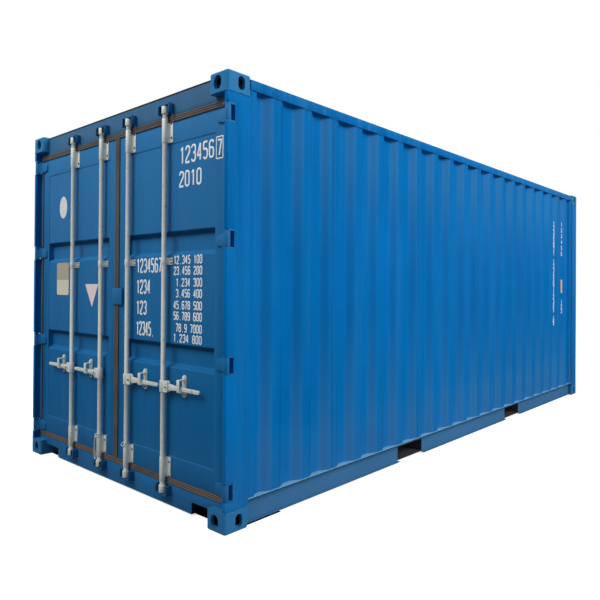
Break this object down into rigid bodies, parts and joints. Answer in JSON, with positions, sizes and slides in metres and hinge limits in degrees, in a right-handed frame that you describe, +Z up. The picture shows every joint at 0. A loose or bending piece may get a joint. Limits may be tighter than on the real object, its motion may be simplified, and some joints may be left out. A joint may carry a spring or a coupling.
{
  "type": "20 ft shipping container",
  "caption": "Closed 20 ft dry cargo container with corrugated walls, hinged end doors and upright lock bars.",
  "frame": {"origin": "centre of the footprint, on the plane of the bottom castings' undersides", "axes": "+Z up, +Y towards the blind end, doors at -Y, +X to the right seen from the doors"},
  "size_m": [2.438, 6.058, 2.591],
  "materials": {
    "body_paint": "satin",
    "door_paint": "satin",
    "roof_paint": "satin",
    "under_paint": "satin",
    "galvanised": "satin",
    "seal_rubber": "matte",
    "floor_plywood": "satin"
  },
  "bodies": {
    "frame": {"bottom_castings": "body_paint", "cam_keepers": "door_paint", "cross_members": "under_paint", "door_header": "door_paint", "door_sill": "door_paint", "floor_boards": "floor_plywood", "fork_pockets": "under_paint", "front_bottom_rail": "body_paint", "front_top_rail": "body_paint", "front_wall": "body_paint", "left_bottom_rail": "body_paint", "left_door_post": "body_paint", "left_front_post": "body_paint", "left_hinge_lugs": "door_paint", "left_top_rail": "body_paint", "left_ventilator": "body_paint", "left_wall": "body_paint", "right_bottom_rail": "body_paint", "right_door_post": "body_paint", "right_front_post": "body_paint", "right_hinge_lugs": "door_paint", "right_top_rail": "body_paint", "right_ventilator": "body_paint", "right_wall": "body_paint", "roof": "roof_paint", "roof_corner_plates": "roof_paint", "top_castings": "body_paint"},
    "catch_1": {"catch_1": "galvanised"},
    "catch_2": {"catch_2": "galvanised"},
    "catch_3": {"catch_3": "galvanised"},
    "catch_4": {"catch_4": "galvanised"},
    "handle_1": {"handle_1": "galvanised"},
    "handle_2": {"handle_2": "galvanised"},
    "handle_3": {"handle_3": "galvanised"},
    "handle_4": {"handle_4": "galvanised"},
    "right_door": {"lap_plate": "door_paint", "right_bar_brackets": "galvanised", "right_handle_seats": "galvanised", "right_hinge_blades": "door_paint", "right_leaf_frame": "door_paint", "right_leaf_gasket": "seal_rubber", "right_leaf_panel": "door_paint"},
    "left_door": {"left_bar_brackets": "galvanised", "left_handle_seats": "galvanised", "left_hinge_blades": "door_paint", "left_leaf_frame": "door_paint", "left_leaf_gasket": "seal_rubber", "left_leaf_panel": "door_paint"},
    "lock_bar_1": {"lock_bar_1": "galvanised"},
    "lock_bar_2": {"lock_bar_2": "galvanised"},
    "lock_bar_3": {"lock_bar_3": "galvanised"},
    "lock_bar_4": {"lock_bar_4": "galvanised"}
  },
  "joints": [
    {"name": "left_door_hinge", "type": "hinge", "parent": "frame", "child": "left_door", "pos_m": [-1.1975, -3.0075, 1.29], "axis": [0, 0, -1], "range_deg": [0, 264]},
    {"name": "right_door_hinge", "type": "hinge", "parent": "frame", "child": "right_door", "pos_m": [1.1975, -3.0075, 1.29], "axis": [0, 0, 1], "range_deg": [0, 264]},
    {"name": "lock_bar_1_turn", "type": "hinge", "parent": "left_door", "child": "lock_bar_1", "pos_m": [-0.594, -3.004, 1.3], "axis": [0, 0, -1], "range_deg": [-95, 0]},
    {"name": "handle_1_lift", "type": "hinge", "parent": "lock_bar_1", "child": "handle_1", "pos_m": [-0.636, -3.004, 0.755], "axis": [0, -1, 0], "range_deg": [-10, 0]},
    {"name": "catch_1_swing", "type": "hinge", "parent": "left_door", "child": "catch_1", "pos_m": [-0.774, -2.98, 0.82], "axis": [0, 1, 0], "range_deg": [-100, 0]},
    {"name": "lock_bar_2_turn", "type": "hinge", "parent": "left_door", "child": "lock_bar_2", "pos_m": [-0.175, -3.004, 1.3], "axis": [0, 0, -1], "range_deg": [-95, 0]},
    {"name": "handle_2_lift", "type": "hinge", "parent": "lock_bar_2", "child": "handle_2", "pos_m": [-0.217, -3.004, 0.755], "axis": [0, -1, 0], "range_deg": [-10, 0]},
    {"name": "catch_2_swing", "type": "hinge", "parent": "left_door", "child": "catch_2", "pos_m": [-0.355, -2.98, 0.82], "axis": [0, 1, 0], "range_deg": [-100, 0]},
    {"name": "lock_bar_3_turn", "type": "hinge", "parent": "right_door", "child": "lock_bar_3", "pos_m": [0.175, -3.004, 1.3], "axis": [0, 0, 1], "range_deg": [-95, 0]},
    {"name": "handle_3_lift", "type": "hinge", "parent": "lock_bar_3", "child": "handle_3", "pos_m": [0.217, -3.004, 0.755], "axis": [0, 1, 0], "range_deg": [-10, 0]},
    {"name": "catch_3_swing", "type": "hinge", "parent": "right_door", "child": "catch_3", "pos_m": [0.355, -2.98, 0.82], "axis": [0, -1, 0], "range_deg": [-100, 0]},
    {"name": "lock_bar_4_turn", "type": "hinge", "parent": "right_door", "child": "lock_bar_4", "pos_m": [0.594, -3.004, 1.3], "axis": [0, 0, 1], "range_deg": [-95, 0]},
    {"name": "handle_4_lift", "type": "hinge", "parent": "lock_bar_4", "child": "handle_4", "pos_m": [0.636, -3.004, 0.755], "axis": [0, 1, 0], "range_deg": [-10, 0]},
    {"name": "catch_4_swing", "type": "hinge", "parent": "right_door", "child": "catch_4", "pos_m": [0.774, -2.98, 0.82], "axis": [0, -1, 0], "range_deg": [-100, 0]}
  ]
}
